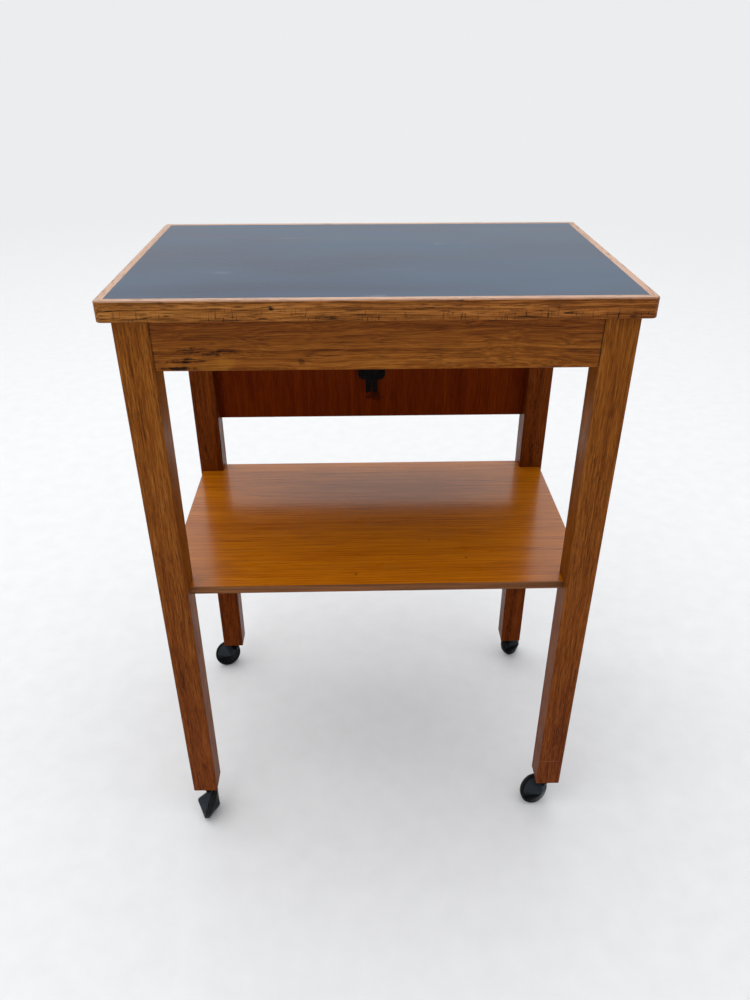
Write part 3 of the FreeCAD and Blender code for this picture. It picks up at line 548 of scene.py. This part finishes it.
def make_stage():
    """A sweep: a floor that curves up into a wall far behind the table."""
    half_width, near, bend_start, radius, top = 14.0, -6.0, 5.0, 3.0, 9.0
    steps = 24
    profile = [(near, 0.0), (bend_start, 0.0)]
    for step in range(1, steps + 1):
        angle = math.radians(90 * step / steps)
        profile.append((bend_start + radius * math.sin(angle), radius * (1 - math.cos(angle))))
    profile.append((bend_start + radius, top))
    shape = bmesh.new()
    rows = [[shape.verts.new((side * half_width, y, z)) for side in (-1, 1)] for y, z in profile]
    for low, high in zip(rows, rows[1:]):
        shape.faces.new((low[0], low[1], high[1], high[0])).smooth = True
    mesh = bpy.data.meshes.new("sweep")
    shape.to_mesh(mesh)
    shape.free()
    mesh.materials.append(make_sweep_paint())
    sweep = bpy.data.objects.new("sweep", mesh)
    bpy.context.scene.collection.objects.link(sweep)


def make_sky():
    """Even light from an overcast sky, which is seen as the pale backdrop."""
    world = bpy.data.worlds.new("sky")
    sky = Tree(world, "ShaderNodeOutputWorld")
    light = sky.add("ShaderNodeBackground", {"Color": (0.90, 0.94, 1.0), "Strength": 0.66})
    backdrop = sky.add("ShaderNodeBackground", {"Color": PALE, "Strength": PALE_STRENGTH})
    sky.choose(sky.seen(), light, backdrop)
    bpy.context.scene.world = world


def make_overhead_light():
    """The brighter sky overhead: a wide soft panel high above the table, in metres and watts."""
    place = Vector((-1.0, 0.5, 7.0))
    aim = Vector((0.0, 1.0, 0.0))
    data = bpy.data.lights.new("overhead_sky", "AREA")
    data.size = 10.0
    data.energy = 520.0
    data.color = (1.0, 0.99, 0.97)
    lamp = bpy.data.objects.new("overhead_sky", data)
    bpy.context.scene.collection.objects.link(lamp)
    lamp.location = place
    lamp.rotation_euler = (aim - place).to_track_quat("-Z", "Y").to_euler()


def make_camera():
    """The photograph's viewpoint, found from the table's own edges."""
    place = Vector((-0.02038, -0.82642, 0.87965))
    pitch = math.radians(30.4)
    # The small turn that is left over: its axis, as long as its angle in radians.
    lean = Vector((0.00881, -0.02213, -0.01335))
    data = bpy.data.cameras.new("camera")
    data.sensor_fit = "VERTICAL"
    data.sensor_height = 36.0
    data.lens = 28.076
    data.clip_start = 0.01
    data.clip_end = 100.0
    camera = bpy.data.objects.new("camera", data)
    bpy.context.scene.collection.objects.link(camera)
    # The rows point to the camera's right, down and forward, before that turn.
    level = Matrix(((1, 0, 0),
                    (0, -math.sin(pitch), -math.cos(pitch)),
                    (0, math.cos(pitch), -math.sin(pitch))))
    right, down, forward = Matrix.Rotation(lean.length, 3, lean.normalized()) @ level
    camera.matrix_world = Matrix((right, -down, -forward)).transposed().to_4x4()
    camera.matrix_world.translation = place
    bpy.context.scene.camera = camera


# ---------------------------------------------------------------- assign and finish
def assign(material, *names):
    """Gives CAD nodes a material, in every slot that they have."""
    for name in names:
        piece = bpy.data.objects[name]
        if not piece.material_slots:
            piece.data.materials.append(material)
        for slot in piece.material_slots:
            slot.material = material


def every(word):
    """The CAD nodes whose names hold a word."""
    return [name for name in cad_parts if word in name]


bpy.context.scene.view_settings.view_transform = "Standard"
make_stage()
make_sky()
make_overhead_light()
make_camera()

assign(make_lino(), "lino_inlay")
assign(make_lipping_wood("lipping_long", "X"), "front_lipping", "rear_lipping")
assign(make_lipping_wood("lipping_short", "Y"), "left_lipping", "right_lipping")
assign(make_plain_wood("core_board", srgb(170, 132, 88)), "top_board")
assign(make_front_leg_wood(), "front_left_leg", "front_right_leg")
assign(make_rear_leg_wood_painted_shade(), "rear_left_leg", "rear_right_leg")
assign(make_apron_wood("apron_wood_front", "X", front=True), "front_apron")
assign(make_apron_wood("apron_wood_side", "Y"), "left_apron", "right_apron")
assign(make_panel_wood(), "rear_panel")
assign(make_shelf_wood(), "shelf")
assign(make_plain_wood("block_wood", srgb(160, 122, 80)), *every("corner_block"))
assign(make_plain_wood("dowel_wood", srgb(190, 156, 110)), *every("dowels"))

# The hoods carry dust and a painted sky reflection on what looks up.
hood_black = make_black("hood_black", srgb(3, 3, 4), 0.26, gloss=0.04, dusty=0.02, dust_and_sky_share=0.40)
wheel_black = make_black("wheel_black", srgb(3, 3, 4), 0.24, gloss=0.04, dusty=0.02)
clip_black = make_black("clip_black", srgb(4, 3, 3), 0.40, gloss=0.08, dusty=0.05)
castor_steel = make_steel("castor_steel", (0.50, 0.50, 0.50), 0.3)
assign(hood_black, *every("castor_hood"))
assign(wheel_black, *every("castor_wheel"))
assign(make_rubber(), *every("castor_tyre"))
assign(castor_steel, *every("castor_stem"), *every("castor_axle"), *every("castor_sleeve"))
assign(clip_black, *every("clip_"))
assign(make_steel("screw_steel", (0.44, 0.43, 0.40), 0.35), "top_screws")
